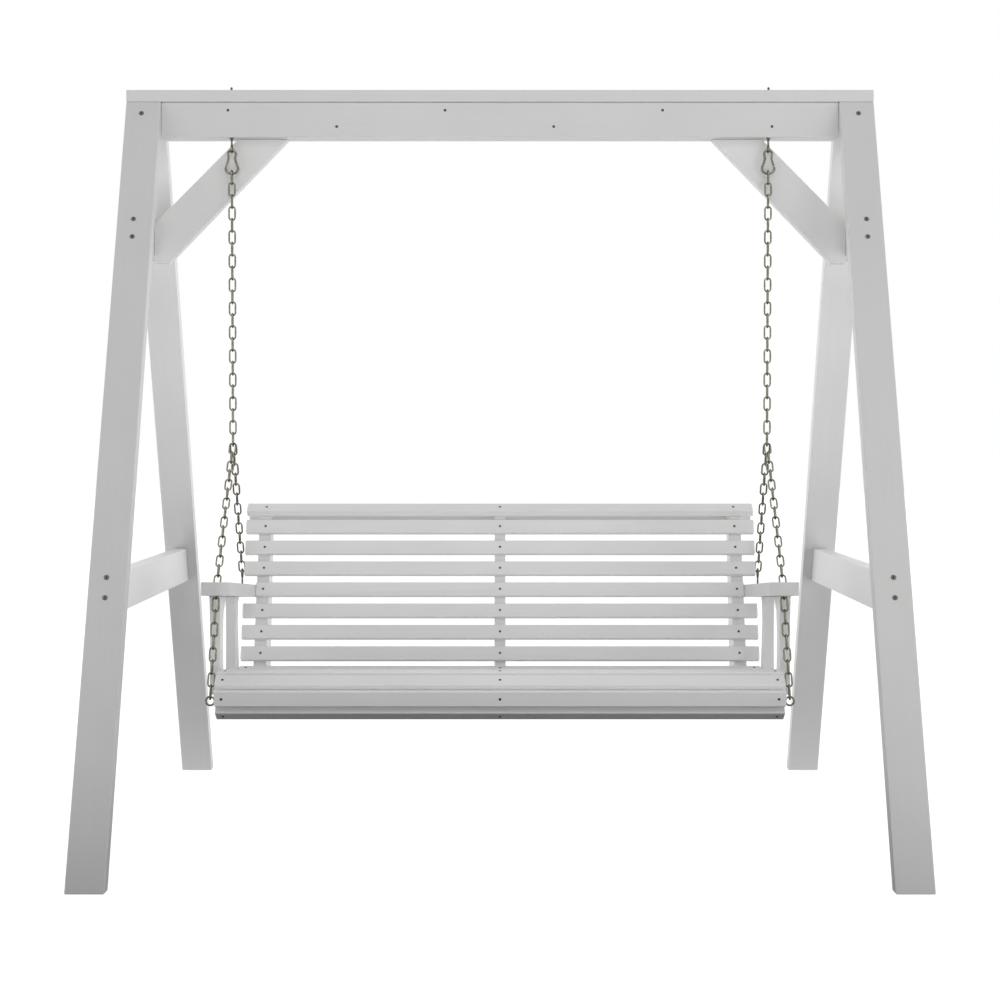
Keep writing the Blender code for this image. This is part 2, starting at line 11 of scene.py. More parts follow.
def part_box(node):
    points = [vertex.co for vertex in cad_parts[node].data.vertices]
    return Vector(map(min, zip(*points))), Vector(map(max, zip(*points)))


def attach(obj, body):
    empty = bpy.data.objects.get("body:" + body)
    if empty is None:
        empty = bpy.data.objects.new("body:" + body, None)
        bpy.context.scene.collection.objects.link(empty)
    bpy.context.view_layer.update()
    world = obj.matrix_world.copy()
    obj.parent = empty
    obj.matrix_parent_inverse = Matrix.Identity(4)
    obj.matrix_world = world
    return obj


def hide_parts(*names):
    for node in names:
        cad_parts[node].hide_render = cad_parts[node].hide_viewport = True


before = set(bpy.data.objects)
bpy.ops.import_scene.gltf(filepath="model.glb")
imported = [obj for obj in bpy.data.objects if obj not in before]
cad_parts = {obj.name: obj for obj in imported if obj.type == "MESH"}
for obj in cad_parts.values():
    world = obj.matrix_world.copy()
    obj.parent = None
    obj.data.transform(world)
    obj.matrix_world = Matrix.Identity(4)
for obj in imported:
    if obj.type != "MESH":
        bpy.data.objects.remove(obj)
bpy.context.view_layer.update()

SIDES = ((-1, "left"), (1, "right"))
UP = Vector((0, 0, 1))
DEPTH = Vector((0, 1, 0))

# Lengths and places are in metres, and agree with the CAD.

# Stand
BEAM_BOTTOM_Z = 1.786
LEG_FOOT_Y = 0.830
LEG_TOP_Y = 0.044
LEG_RISE = 1.876
LEG_SLOPE = (LEG_FOOT_Y - LEG_TOP_Y) / LEG_RISE

# Seat and arms
SEAT_RIB_OUTER_X = 0.690
SEAT_SLATS = 11
STRAIGHT_BACK_SLATS = 7
BACK_SLATS = 9
ARM_FRONT = (-0.385, 0.659)
ARM_SLOPE = math.radians(5.0)

# Eye bolts in the beam
HANG_X = 0.696
HANG_Y = -0.019
RING_Z = 1.7575
RING_RADIUS = 0.00775
RING_WIRE = 0.0025
RING_STEPS = 40
BOLT_RADIUS = 0.0030
BOLT_THREAD = 0.00125
BOLT_NECK = 0.0135
BOLT_TIP_Z = 1.917
WASHER_GAP = 0.0004
# Distance up and radius
WASHER_PROFILE = ((0.0, 0.0050), (0.0002, 0.0057), (0.0014, 0.0060), (0.0018, 0.0056))

# Chains
LINK_PITCH = 0.03086
LINK_HALF_WIDTH = 0.0078
LINK_WIRE = 0.0021
LINK_REACH = 0.00225
LINK_ARC_STEPS = 8
LINK_STRAIGHT_STEPS = 6
LINK_SIDES = 10
# The weld is a swelling at the middle of each link's second straight
WELD_AT = 2 * (LINK_ARC_STEPS + 1) + (LINK_STRAIGHT_STEPS - 1) + LINK_STRAIGHT_STEPS // 2 - 1
WELD_SWELL = 0.13
WELD_SPREAD = 1.1
UPPER_TOP_Z = 1.69956
UPPER_LINKS = 23
FORK_Z = 0.99271
FORK_SPLIT = 0.0026
FRONT_ANGLE = math.radians(41.5)
REAR_ANGLE = math.radians(30.5)
# Links from the fork to the hole in the arm, and on to the seat rib
FRONT_LINKS = (15, 9)
REAR_LINKS = 13

# Screw eyes in the seat ribs and arms
FRONT_EYE = (0.712, -0.335)
REAR_EYE_X = 0.7005
SCREW_EYE_RADIUS = 0.0105
SCREW_EYE_LIFT = 0.0040
SCREW_EYE_IN_WOOD = 0.024
SCREW_EYE_SHANK = 0.0028
SCREW_EYE_THREAD = 0.0018
SCREW_EYE_NECK = 0.010

# Snap hooks; an outline's points are distance from the middle and height above the lowest bar
HOOK_WIRE = 0.0030
GATE_WIRE = HOOK_WIRE * 0.82
HOOK_BOTTOM_Z = 1.6945
HOOK_LOWER = ((0.0152, 0.0168), (0.0158, 0.0100), (0.0100, 0.0022))
HOOK_BACK = (
    (0.0, 0.0),
    (0.0100, 0.0022),
    (0.0159, 0.0095),
    (0.0156, 0.0165),
    (0.0112, 0.0280),
    (0.0086, 0.0385),
    (0.0106, 0.0478),
    (0.0092, 0.0545),
    (0.0042, 0.0594),
    (0.0, 0.0614),
)
HOOK_UPPER = ((0.0042, 0.0594), (0.0092, 0.0546), (0.0101, 0.0529))
HOOK_GATE = ((0.0150, 0.0180), (0.0114, 0.0280), (0.0088, 0.0385), (0.0101, 0.0515))

# Screws and bolts
HEAD_SUNK = 0.0004
SLAT_SCREW = 0.0033
ARM_SCREW = 0.0034
BEAM_SCREW = 0.0036
SEAT_SCREW_X = (-0.672, 0.0, 0.672)
BACK_SCREW_X = (-0.637, 0.0, 0.637)
ARM_SCREW_X = 0.704
ARM_SCREW_Y = (-0.230, 0.005)
BEAM_SCREWS = (
    (-0.703, 1.855),
    (-0.142, 1.855),
    (0.420, 1.855),
    (-0.422, 1.813),
    (0.139, 1.813),
    (0.703, 1.813),
)
# Height and radius of each bolt head on a leg
LEG_BOLTS = ((1.844, 0.0062), (1.560, 0.0061), (1.514, 0.0061), (0.682, 0.0064), (0.636, 0.0064))
LEG_BOLT_X = 0.923
# Points (y, z) inside the seat and inside the back's rolled top, and how far behind a slat one is
SEAT_CORE = (-0.36, 0.37)
ROLL_CORE = (0.24, 0.76)
BEHIND_SLAT = 0.04

# How much each board's edges are eased; the first word that is in its name counts
EASINGS = (
    ("slat", 0.0026),
    ("top_plate", 0.0010),
    ("leg", 0.0024),
    ("beam", 0.0024),
    ("arm", 0.0028),
    ("", 0.0025),
)
# Painted light and shade: how much lighter or darker each board's paint is made, to stand in for the
# light that falls on it; the first word that is in its name counts
PAINTED_LIGHT_LEVELS = (
    ("front_leg", 0.79),
    ("beam", 0.81),
    ("plate", 0.81),
    ("rear_leg", 0.99),
    ("tie", 0.90),
    ("rail", 1.04),
    ("brace", 0.92),
    # The lowest nose slat is painted darker, as painted shade on a face that looks down
    ("seat_slat_01", 0.95),
    ("slat", 1.10),
    ("rib", 1.08),
    ("post", 1.12),
    ("arm", 0.89),
)
METAL_WORDS = ("chain", "eye", "hook")

# Paint: colours, and noise cells to a metre along a board and in the two ways across it
PAINT_LIGHT = (0.815, 0.815, 0.812)
PAINT_DARK = (0.765, 0.766, 0.762)
PAINT_RUBBED = (0.775, 0.772, 0.764)
WANDER_CELLS = (1.1, 9.0, 9.0)
BAND_CELLS = (2.2, 120.0, 120.0)
PORE_CELLS = (18.0, 1100.0, 1100.0)
BRUSH_CELLS = (6.0, 430.0, 430.0)
SCUFF_CELLS = (14.0, 60.0, 60.0)
GRAIN_DRIFT = 0.035
RELIEF = 0.00035
EDGE_RELIEF = 0.00012

# Studio light by direction: low in front, high in front, behind, and at the sides
LIGHT_LOW = 1.34
LIGHT_HIGH = 0.0
LIGHT_BEHIND = 0.92
LIGHT_SIDES = 1.24
# How bright the studio looks in a mirroring surface: in front, and everywhere else
REFLECTED_FRONT = 0.7
REFLECTED_SIDES = 1.2
# Name, place, target, size and power
SOFTBOXES = (
    ("softbox_front", (0.0, -5.5, 4.4), (0.0, 0.0, 0.6), 2.2, 50.0),
    ("softbox_right", (2.4, -3.0, 0.7), (0.8, -0.7, 0.4), 1.2, 15.0),
)
WHITE = (1.0, 1.0, 1.0, 1.0)
FLOOR_SIZE = 30.0
FLOOR_GLOW = 0.84
CARD_SIZE = (1.50, 1.52)
CARD_PLACE = (0.0, -0.23, -0.004)
# The card's glow grows from front to back, between these two distances
CARD_FADE_Y = (-0.05, 0.75)
CARD_GLOW = (0.005, 0.55)

CAMERA_PLACE = (0.0, -5.14, 1.013)
CAMERA_DOWN = 1.86
CAMERA_LENS = 70.67
CAMERA_SENSOR = 36.0


# Materials


def new_material(name):
    """A new material with its node tree and its shader."""
    made = bpy.data.materials.new(name)
    made.use_nodes = True
    tree = made.node_tree
    return made, tree, tree.nodes["Principled BSDF"]


def node(tree, kind, inputs=None, **settings):
    """A shader node with settings, whose inputs take numbers or other nodes' sockets."""
    made = tree.nodes.new(kind)
    for key, value in settings.items():
        setattr(made, key, value)
    for key, value in (inputs or {}).items():
        socket = made.inputs[key]
        if isinstance(value, bpy.types.NodeSocket):
            tree.links.new(value, socket)
        else:
            socket.default_value = value
    return made


def noise(tree, coordinates, scale, detail=3.0, roughness=0.55):
    inputs = {"Vector": coordinates, "Scale": scale, "Detail": detail, "Roughness": roughness}
    return node(tree, "ShaderNodeTexNoise", inputs).outputs["Fac"]


def stretched(tree, coordinates, scale):
    inputs = {"Vector": coordinates, "Scale": scale}
    return node(tree, "ShaderNodeMapping", inputs).outputs["Vector"]


def ramp(tree, value, low, high, dark, light):
    """Maps value from low..high on to dark..light, held at both ends."""
    inputs = {"Value": value, "From Min": low, "From Max": high, "To Min": dark, "To Max": light}
    return node(tree, "ShaderNodeMapRange", inputs).outputs["Result"]


def tinted(tree, value, dark, light):
    """A colour between dark and light."""
    made = node(tree, "ShaderNodeMix", data_type="RGBA")
    tree.links.new(value, made.inputs[0])
    made.inputs[6].default_value = (*dark, 1.0)
    made.inputs[7].default_value = (*light, 1.0)
    return made.outputs[2]


def mixed(tree, factor, first, second):
    """A number between first and second."""
    return node(tree, "ShaderNodeMix", {0: factor, 2: first, 3: second}).outputs[0]


def added(tree, first, second, factor):
    """first + second * factor."""
    inputs = {0: second, 1: factor, 2: first}
    return node(tree, "ShaderNodeMath", inputs, operation="MULTIPLY_ADD").outputs[0]


def wandering(tree, board):
    """The board's coordinates, moved sideways a little, so that the grain isn't dead straight."""
    wander = noise(tree, stretched(tree, board, WANDER_CELLS), 1.0, 2.0)
    drift = node(tree, "ShaderNodeMath", {0: wander, 1: GRAIN_DRIFT}, operation="MULTIPLY").outputs[0]
    shift = node(tree, "ShaderNodeCombineXYZ", {"Y": drift, "Z": drift}).outputs[0]
    return node(tree, "ShaderNodeVectorMath", {0: board, 1: shift}, operation="ADD").outputs[0]


def scaled(colour, painted_light_level):
    return [painted_light_level * value for value in colour]


def clean_paint(tree, board, bands, brush, painted_light_level):
    """The colour of a board's faces, which shows the grain and the brush faintly."""
    cloud = noise(tree, board, 5.0, 2.0, 0.5)
    tone = added(tree, cloud, bands, 0.55)
    tone = added(tree, tone, brush, 0.25)
    tone = ramp(tree, tone, 0.55, 1.25, 0.0, 1.0)
    return tinted(tree, tone, scaled(PAINT_DARK, painted_light_level), scaled(PAINT_LIGHT, painted_light_level))


def rubbed_paint(tree, board, painted_light_level):
    """The colour of a board's eased edges, with a few rubbed places."""
    scuff = noise(tree, stretched(tree, board, SCUFF_CELLS), 1.0, 4.0, 0.7)
    scuff = ramp(tree, scuff, 0.50, 0.68, 0.0, 1.0)
    return tinted(tree, scuff, scaled(PAINT_LIGHT, painted_light_level), scaled(PAINT_RUBBED, painted_light_level))


def painted_wood(name, turn, seed, worn, painted_light_level):
    """White paint over grain along the board, made lighter or darker by a painted light and shade
    level; turn takes the board's axes to the world's.
    """
    made, tree, shader = new_material(name)
    inputs = {
        "Vector": node(tree, "ShaderNodeTexCoord").outputs["Object"],
        "Rotation": turn.inverted().to_euler(),
        "Location": (seed * 1.37, seed * 0.71, seed * 0.43),
    }
    board = node(tree, "ShaderNodeMapping", inputs).outputs["Vector"]
    grain = wandering(tree, board)
    bands = noise(tree, stretched(tree, grain, BAND_CELLS), 1.0, 3.0, 0.6)
    pores = noise(tree, stretched(tree, grain, PORE_CELLS), 1.0, 2.0, 0.5)
    brush = noise(tree, stretched(tree, board, BRUSH_CELLS), 1.0, 3.0, 0.65)
    speckle = noise(tree, board, 900.0, 2.0, 0.5)
    if worn:
        colour = rubbed_paint(tree, board, painted_light_level)
    else:
        colour = clean_paint(tree, board, bands, brush, painted_light_level)
    tree.links.new(colour, shader.inputs["Base Color"])
    gloss = added(tree, brush, speckle, 0.4)
    tree.links.new(ramp(tree, gloss, 0.4, 1.0, 0.38, 0.56), shader.inputs["Roughness"])
    shader.inputs["Specular IOR Level"].default_value = 0.42
    shader.inputs["Coat Weight"].default_value = 0.10
    shader.inputs["Coat Roughness"].default_value = 0.35
    height = added(tree, bands, pores, 0.35)
    height = added(tree, height, brush, 0.45)
    height = added(tree, height, speckle, 0.12)
    depth = EDGE_RELIEF if worn else RELIEF
    bump = node(tree, "ShaderNodeBump", {"Height": height, "Strength": 0.35, "Distance": depth})
    tree.links.new(bump.outputs["Normal"], shader.inputs["Normal"])
    return made


def zinc(name, base, dull, roughness, edge):
    """Bright zinc plate, dulled in patches, with a darker rim from a dark edge tint, a painted shade
    that stands in for dark surroundings mirrored at the rim.
    """
    made, tree, shader = new_material(name)
    place = node(tree, "ShaderNodeTexCoord").outputs["Object"]
    patches = noise(tree, place, 260.0, 3.0, 0.6)
    grit = noise(tree, place, 2600.0, 2.0, 0.5)
    dulled = ramp(tree, added(tree, patches, grit, 0.35), 0.45, 0.95, 0.0, 1.0)
    tree.links.new(tinted(tree, dulled, base, dull), shader.inputs["Base Color"])
    rough = ramp(tree, dulled, 0.0, 1.0, roughness, roughness + 0.16)
    tree.links.new(rough, shader.inputs["Roughness"])
    shader.inputs["Metallic"].default_value = 1.0
    # Painted shade: the dark edge tint darkens the reflection at the rim
    shader.inputs["Specular Tint"].default_value = (*edge, 1.0)
    bump = node(tree, "ShaderNodeBump", {"Height": grit, "Strength": 0.25, "Distance": 0.00008})
    tree.links.new(bump.outputs["Normal"], shader.inputs["Normal"])
    return made


CHAIN = zinc("chain_zinc", (0.38, 0.37, 0.295), (0.10, 0.096, 0.06), 0.13, (0.02, 0.02, 0.015))
HARDWARE = zinc("hardware_zinc", (0.34, 0.33, 0.27), (0.10, 0.096, 0.065), 0.15, (0.02, 0.02, 0.015))
BOLT = zinc("bolt_zinc", (0.22, 0.22, 0.19), (0.10, 0.10, 0.08), 0.24, (0.08, 0.08, 0.06))
SCREW = zinc("screw_steel", (0.13, 0.13, 0.12), (0.07, 0.07, 0.06), 0.34, (0.12, 0.12, 0.10))
# Painted shadow: a near-black finish for the flat discs that stand in for the shade inside screw
# drives and bolt sockets
DRIVE_SHADOW = zinc("socket_shadow", (0.05, 0.05, 0.045), (0.03, 0.03, 0.028), 0.5, (0.05, 0.05, 0.05))


# Boards


def points_of(name):
    return np.array([v.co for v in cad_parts[name].data.vertices])


def board_turn(name):
    """Rotation whose X is the board's long direction and whose Y is its wide one."""
    points = points_of(name)
    points = points - points.mean(axis=0)
    _, _, axes = np.linalg.svd(np.unique(np.round(points, 5), axis=0), full_matrices=False)
    along = Vector(axes[0])
    across = Vector(axes[1])
    if along[int(np.argmax(np.abs(axes[0])))] < 0:
        along.negate()
    normal = along.cross(across)
    return Matrix((along, across, normal)).transposed()


def ease_board(name, width, seed, painted_light_level):
    """Eases a board's edges and paints it; the eased edges take a lightly worn paint."""
    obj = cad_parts[name]
    turn = board_turn(name)
    obj.data.materials.clear()
    obj.data.materials.append(painted_wood(name + "_paint", turn, seed, False, painted_light_level))
    obj.data.materials.append(painted_wood(name + "_edge_paint", turn, seed, True, painted_light_level))
    weld = obj.modifiers.new("weld", "WELD")
    weld.merge_threshold = 0.00002
    bevel = obj.modifiers.new("eased_edges", "BEVEL")
    bevel.width = width
    bevel.segments = 3
    bevel.limit_method = "ANGLE"
    bevel.angle_limit = math.radians(32)
    bevel.material = 1
    bevel.harden_normals = True


def listed(table, name):
    """The value beside the first word in the table that is in the name."""
    return next(value for word, value in table if word in name)


# Each board's paint is scaled by its painted light and shade level from the table above
for seed, name in enumerate(sorted(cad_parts)):
    if not any(word in name for word in METAL_WORDS):
        ease_board(name, listed(EASINGS, name), seed, listed(PAINTED_LIGHT_LEVELS, name))


# Metal shapes


def add_piece(name, shape, materials, body):
    """A smooth piece that rides on a body."""
    bmesh.ops.recalc_face_normals(shape, faces=shape.faces)
    mesh = bpy.data.meshes.new(name)
    shape.to_mesh(mesh)
    shape.free()
    for material in materials:
        mesh.materials.append(material)
    mesh.shade_smooth()
    mesh.set_sharp_from_angle(angle=math.radians(38))
    obj = bpy.data.objects.new(name, mesh)
    bpy.context.scene.collection.objects.link(obj)
    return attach(obj, body)


def circle(centre, radius, first, second, steps):
    """Points round a circle in the plane of two unit vectors."""
    turns = [2 * math.pi * k / steps for k in range(steps)]
    return [centre + (first * math.cos(t) + second * math.sin(t)) * radius for t in turns]


def bridged(shape, here, there):
    """Faces between two rings of vertices."""
    made = []
    for k in range(len(here)):
        m = (k + 1) % len(here)
        made.append(shape.faces.new((here[k], here[m], there[m], there[k])))
    return made


def sweep(shape, path, across, radii, sides, closed):
    """A round bar along a planar path; across is the plane's normal."""
    across = Vector(across).normalized()
    count = len(path)
    rings = []
    for i, point in enumerate(path):
        before = path[i - 1] if closed or i > 0 else point
        after = path[(i + 1) % count] if closed or i < count - 1 else point
        outward = across.cross((after - before).normalized())
        ring = circle(point, radii[i], outward, across, sides)
        rings.append([shape.verts.new(place) for place in ring])
    for i in range(count if closed else count - 1):
        bridged(shape, rings[i], rings[(i + 1) % count])
    if not closed:
        shape.faces.new(rings[0])
        shape.faces.new(rings[-1])


def turned(shape, start, direction, profile, sides, material=0):
    """A turned solid: profile is (distance along, radius), from one end to the other."""
    direction = Vector(direction).normalized()
    side = direction.orthogonal().normalized()
    other = direction.cross(side)
    rings = []
    for along, radius in profile:
        ring = circle(Vector(start) + direction * along, radius, side, other, sides)
        rings.append([shape.verts.new(place) for place in ring])
    made = [shape.faces.new(rings[0]), shape.faces.new(rings[-1])]
    for here, there in zip(rings, rings[1:]):
        made += bridged(shape, here, there)
    for face in made:
        face.material_index = material


# Chains


def link_line(start, end, broad):
    """Centre line of one welded link, as two straights joined by half circles."""
    along = (end - start).normalized()
    top = start - along * LINK_REACH
    bottom = end + along * LINK_REACH
    r = LINK_HALF_WIDTH
    straight = (bottom - top).length - 2 * r
    line = []
    for tip, inward, across in ((top, along, broad), (bottom, -along, -broad)):
        for k in range(LINK_ARC_STEPS + 1):
            t = math.pi * k / LINK_ARC_STEPS
            line.append(tip + inward * (r - r * math.sin(t)) + across * (r * math.cos(t)))
        for k in range(1, LINK_STRAIGHT_STEPS):
            line.append(tip + inward * (r + straight * k / LINK_STRAIGHT_STEPS) - across * r)
    return line


def add_run(shape, start, end, count, first):
    """Links from start to end: an even one lies across the swing, an odd one along its depth."""
    direction = (end - start).normalized()
    pitch = (end - start).length / count
    across = Vector((1, 0, 0))
    across = (across - direction * across.dot(direction)).normalized()
    deep = direction.cross(across).normalized()
    for i in range(count):
        odd = (first + i) % 2
        broad = deep if odd else across
        thin = across if odd else deep
        begin = start + direction * (pitch * i)
        line = link_line(begin, begin + direction * pitch, broad)
        swell = [WELD_SWELL * math.exp(-((k - WELD_AT) ** 2) / WELD_SPREAD) for k in range(len(line))]
        radii = [LINK_WIRE * (1 + value) for value in swell]
        sweep(shape, line, thin, radii, LINK_SIDES, True)


def fork_point(side):
    """Where a side's chain splits in two."""
    return Vector((side * HANG_X, HANG_Y, FORK_Z))


def knee_point(side):
    """Where the front chain passes through the arm and turns down."""
    direction = Vector((0, -math.sin(FRONT_ANGLE), -math.cos(FRONT_ANGLE)))
    return fork_point(side) + direction * (LINK_PITCH * FRONT_LINKS[0])


def front_end(side):
    """Where the front chain ends, at the seat rib."""
    knee = knee_point(side)
    sideways = side * FRONT_EYE[0] - knee.x
    forwards = FRONT_EYE[1] - knee.y
    length = LINK_PITCH * FRONT_LINKS[1]
    drop = math.sqrt(length**2 - sideways**2 - forwards**2)
    return knee + Vector((sideways, forwards, -drop))


def rear_end(side):
    """Where the rear chain ends, at the arm."""
    sideways = side * (REAR_EYE_X - HANG_X)
    length = math.sqrt((LINK_PITCH * REAR_LINKS) ** 2 - sideways**2)
    backwards = length * math.sin(REAR_ANGLE)
    drop = length * math.cos(REAR_ANGLE)
    return fork_point(side) + Vector((sideways, backwards, -drop))


def build_chains():
    for side, word in SIDES:
        shape = bmesh.new()
        top = Vector((side * HANG_X, HANG_Y, UPPER_TOP_Z))
        add_run(shape, top, top - Vector((0, 0, LINK_PITCH * UPPER_LINKS)), UPPER_LINKS, 1)
        chain = add_piece("chain_links_upper_" + word, shape, [CHAIN], "hanger_" + word)
        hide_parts("upper_chain_" + word)
        shape = bmesh.new()
        split = Vector((0, FORK_SPLIT, 0))
        fork = fork_point(side)
        add_run(shape, fork - split, knee_point(side), FRONT_LINKS[0], 0)
        add_run(shape, knee_point(side), front_end(side), FRONT_LINKS[1], 1)
        add_run(shape, fork + split, rear_end(side), REAR_LINKS, 0)
        chain = add_piece("chain_links_lower_" + word, shape, [CHAIN], "seat")
        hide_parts("lower_chain_" + word)


# Eyes and hooks


def threaded(length, radius, pitch, first):
    """A turned profile with a ridge for each thread, after a plain neck."""
    profile = [(0.0, radius * 0.9), (first, radius * 0.9)]
    along = first
    while along + pitch < length:
        profile.append((along + pitch * 0.5, radius))
        profile.append((along + pitch, radius * 0.84))
        along += pitch
    profile.append((length, radius * 0.6))
    return profile


def add_ring(shape, centre, radius, first, second):
    line = circle(centre, radius, first, second, RING_STEPS)
    sweep(shape, line, first.cross(second), [RING_WIRE] * RING_STEPS, 12, True)


def arm_top_z(y):
    return ARM_FRONT[1] - (y - ARM_FRONT[0]) * math.tan(ARM_SLOPE)


def eye_centre(end, before):
    """Centre of the ring that holds a chain's last link, and the direction of the chain's pull."""
    bar = end + (end - before).normalized() * LINK_REACH
    pull = (before - end) * Vector((0, 1, 1))
    pull.normalize()
    return bar - pull * SCREW_EYE_LIFT, pull


def add_screw_eye(name, centre, ring_plane, inward, outside):
    """A screw eye: inward is the way its shank goes, and outside the bare length of the shank."""
    shape = bmesh.new()
    add_ring(shape, centre, SCREW_EYE_RADIUS, *ring_plane)
    start = centre + inward * SCREW_EYE_RADIUS
    length = outside + SCREW_EYE_IN_WOOD
    neck = min(outside, SCREW_EYE_NECK)
    turned(shape, start, inward, threaded(length, SCREW_EYE_SHANK, SCREW_EYE_THREAD, neck), 14)
    eye = add_piece(name + "_rounded", shape, [HARDWARE], "seat")
    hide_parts(name)


def build_beam_eye(side, word):
    shape = bmesh.new()
    ring = Vector((side * HANG_X, HANG_Y, RING_Z))
    add_ring(shape, ring, RING_RADIUS, DEPTH, UP)
    neck = ring + UP * RING_RADIUS
    profile = threaded(BOLT_TIP_Z - neck.z, BOLT_RADIUS, BOLT_THREAD, BOLT_NECK)
    turned(shape, neck, UP, profile, 16)
    washer_bottom = BEAM_BOTTOM_Z - WASHER_GAP - WASHER_PROFILE[-1][0]
    turned(shape, Vector((ring.x, ring.y, washer_bottom)), UP, WASHER_PROFILE, 24)
    eye = add_piece("beam_eye_" + word, shape, [HARDWARE], "stand")
    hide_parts("beam_eye_bolt_" + word)


def build_screw_eyes(side, word):
    outward = Vector((side, 0, 0))
    centre, pull = eye_centre(front_end(side), knee_point(side))
    outside = abs(centre.x) - SCREW_EYE_RADIUS - SEAT_RIB_OUTER_X
    add_screw_eye("front_seat_eye_" + word, centre, (outward, pull), -outward, outside)
    centre, pull = eye_centre(rear_end(side), fork_point(side))
    outside = centre.z - SCREW_EYE_RADIUS - arm_top_z(centre.y)
    add_screw_eye("rear_arm_eye_" + word, centre, (DEPTH, UP), -UP, outside)


def build_eyes():
    for side, word in SIDES:
        build_beam_eye(side, word)
        build_screw_eyes(side, word)


def smooth_line(points, per_span):
    """Points along a Catmull-Rom curve through the given ones."""
    line = []
    for i in range(len(points) - 1):
        p0 = points[max(i - 1, 0)]
        p1 = points[i]
        p2 = points[i + 1]
        p3 = points[min(i + 2, len(points) - 1)]
        for k in range(per_span):
            t = k / per_span
            bend = (2 * p0 - 5 * p1 + 4 * p2 - p3) * t**2
            twist = (3 * p1 - p0 - 3 * p2 + p3) * t**3
            line.append(0.5 * (2 * p1 + (p2 - p0) * t + bend + twist))
    line.append(points[-1])
    return line


def hook_points(middle_x, direction, outline):
    """World points of an outline, with its distances to the left (-1) or the right (1)."""
    return [Vector((middle_x + direction * x, HANG_Y, HOOK_BOTTOM_Z + z)) for x, z in outline]


def build_hooks():
    for side, word in SIDES:
        middle_x = side * HANG_X
        line = hook_points(middle_x, side, HOOK_LOWER)
        line += hook_points(middle_x, -side, HOOK_BACK)
        line += hook_points(middle_x, side, HOOK_UPPER)
        line = smooth_line(line, 5)
        shape = bmesh.new()
        sweep(shape, line, DEPTH, [HOOK_WIRE] * len(line), 12, False)
        body = add_piece("hook_body_" + word, shape, [HARDWARE], "hanger_" + word)
        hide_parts("snap_hook_" + word)
        line = smooth_line(hook_points(middle_x, side, HOOK_GATE), 6)
        shape = bmesh.new()
        sweep(shape, line, DEPTH, [GATE_WIRE] * len(line), 12, False)
        piece = add_piece("gate_bar_" + word, shape, [HARDWARE], "gate_" + word)
        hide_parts("hook_gate_" + word)


# Screws and bolts


def face_of(name, inside):
    """Centre and normal of a slat's broad face, on the far side from a (y, z) point inside."""
    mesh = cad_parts[name].data
    areas = {}
    for polygon in mesh.polygons:
        key = tuple(round(value, 2) + 0.0 for value in polygon.normal)
        area, weighted = areas.get(key, (0.0, Vector()))
        areas[key] = (area + polygon.area, weighted + polygon.center * polygon.area)
    faces = sorted(areas.items(), key=lambda item: -item[1][0])[:2]
    for normal, (area, weighted) in faces:
        centre = weighted / area
        direction = Vector(normal).normalized()
        if (centre - Vector((centre.x, *inside))).dot(direction) > 0:
            return centre, direction
    raise ValueError(name)


def add_screw(shape, point, normal, radius):
    """A pan head, with a dark square disc on top as the painted shadow of its drive."""
    rise = radius * 0.26
    head = (
        (-HEAD_SUNK, radius),
        (rise * 0.45, radius),
        (rise * 0.9, radius * 0.82),
        (rise, radius * 0.52),
    )
    turned(shape, point, normal, head, 18)
    # The drive is a flat dark disc, a painted shadow of a recess
    drive = radius * 0.40
    socket = ((rise - 0.00005, drive), (rise + 0.00012, drive * 0.96))
    turned(shape, point, normal, socket, 4, 1)


def add_bolt(shape, point, normal, radius):
    """A round bolt head with a rolled rim, seated on a thin washer, with a dark hexagonal disc as the
    painted shadow of its socket.
    """
    washer = ((-HEAD_SUNK, radius), (0.0005, radius), (0.0008, radius * 0.96))
    turned(shape, point, normal, washer, 28)
    rise = radius * 0.40
    width = radius * 0.76
    head = (
        (0.0006, width),
        (rise * 0.7, width * 0.97),
        (rise, width * 0.80),
        (rise * 0.98, width * 0.62),
    )
    turned(shape, point, normal, head, 28)
    # The socket is a flat dark disc, a painted shadow of a recess
    socket = ((rise * 0.9, width * 0.56), (rise + 0.0001, width * 0.54))
    turned(shape, point, normal, socket, 6, 1)


def add_slat_screws(shape, name, inside, places):
    centre, normal = face_of(name, inside)
    for x in places:
        add_screw(shape, Vector((x, centre.y, centre.z)), normal, SLAT_SCREW)


def build_swing_screws():
    shape = bmesh.new()
    for number in range(1, SEAT_SLATS + 1):
        name = f"seat_slat_{number:02d}"
        low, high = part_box(name)
        middle = (low + high) / 2
        inside = (max(middle.y, SEAT_CORE[0]), SEAT_CORE[1])
        add_slat_screws(shape, name, inside, SEAT_SCREW_X)
    for number in range(1, BACK_SLATS + 1):
        name = f"back_slat_{number}"
        low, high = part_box(name)
        middle = (low + high) / 2
        behind = (middle.y + BEHIND_SLAT, middle.z)
        inside = behind if number <= STRAIGHT_BACK_SLATS else ROLL_CORE
        add_slat_screws(shape, name, inside, BACK_SCREW_X)
    normal = Vector((0, math.sin(ARM_SLOPE), math.cos(ARM_SLOPE)))
    for side, _ in SIDES:
        for y in ARM_SCREW_Y:
            add_screw(shape, Vector((side * ARM_SCREW_X, y, arm_top_z(y))), normal, ARM_SCREW)
    add_piece("swing_screws", shape, [SCREW, DRIVE_SHADOW], "seat")


